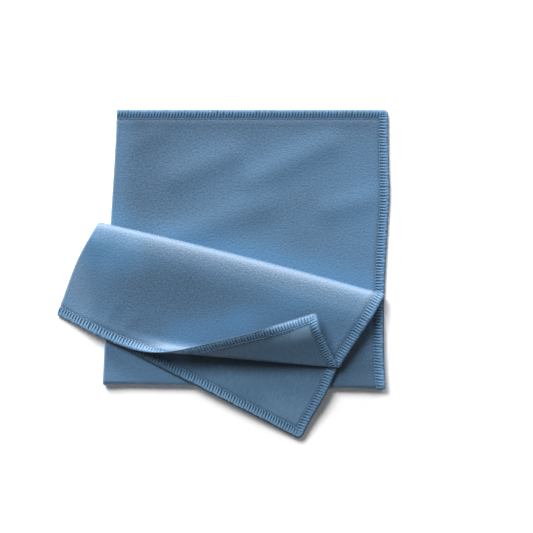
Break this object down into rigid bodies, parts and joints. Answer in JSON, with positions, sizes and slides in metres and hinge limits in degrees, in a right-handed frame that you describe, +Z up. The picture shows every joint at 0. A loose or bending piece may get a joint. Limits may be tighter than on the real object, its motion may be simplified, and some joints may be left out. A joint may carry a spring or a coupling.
{
  "type": "microfibre cloth",
  "caption": "Square cleaning cloth lying folded in half and back on itself in a flat Z, with a slanted soft fold and a free corner curled over.",
  "frame": {"origin": "middle of the cloth's outline seen from above, on the surface that it lies on", "axes": "+X to the right along the folded square's top hem, +Y towards that hem, away from the viewer, +Z up off the surface"},
  "size_m": [0.2402, 0.2377, 0.0326],
  "materials": {
    "microfibre": "matt suede-like microfibre, pale dusty blue, with a soft sheen at grazing angles",
    "edging_thread": "overlock thread round the hem, slightly brighter blue, faintly lustrous"
  },
  "bodies": {
    "root": {"cloth": "microfibre"}
  },
  "joints": []
}
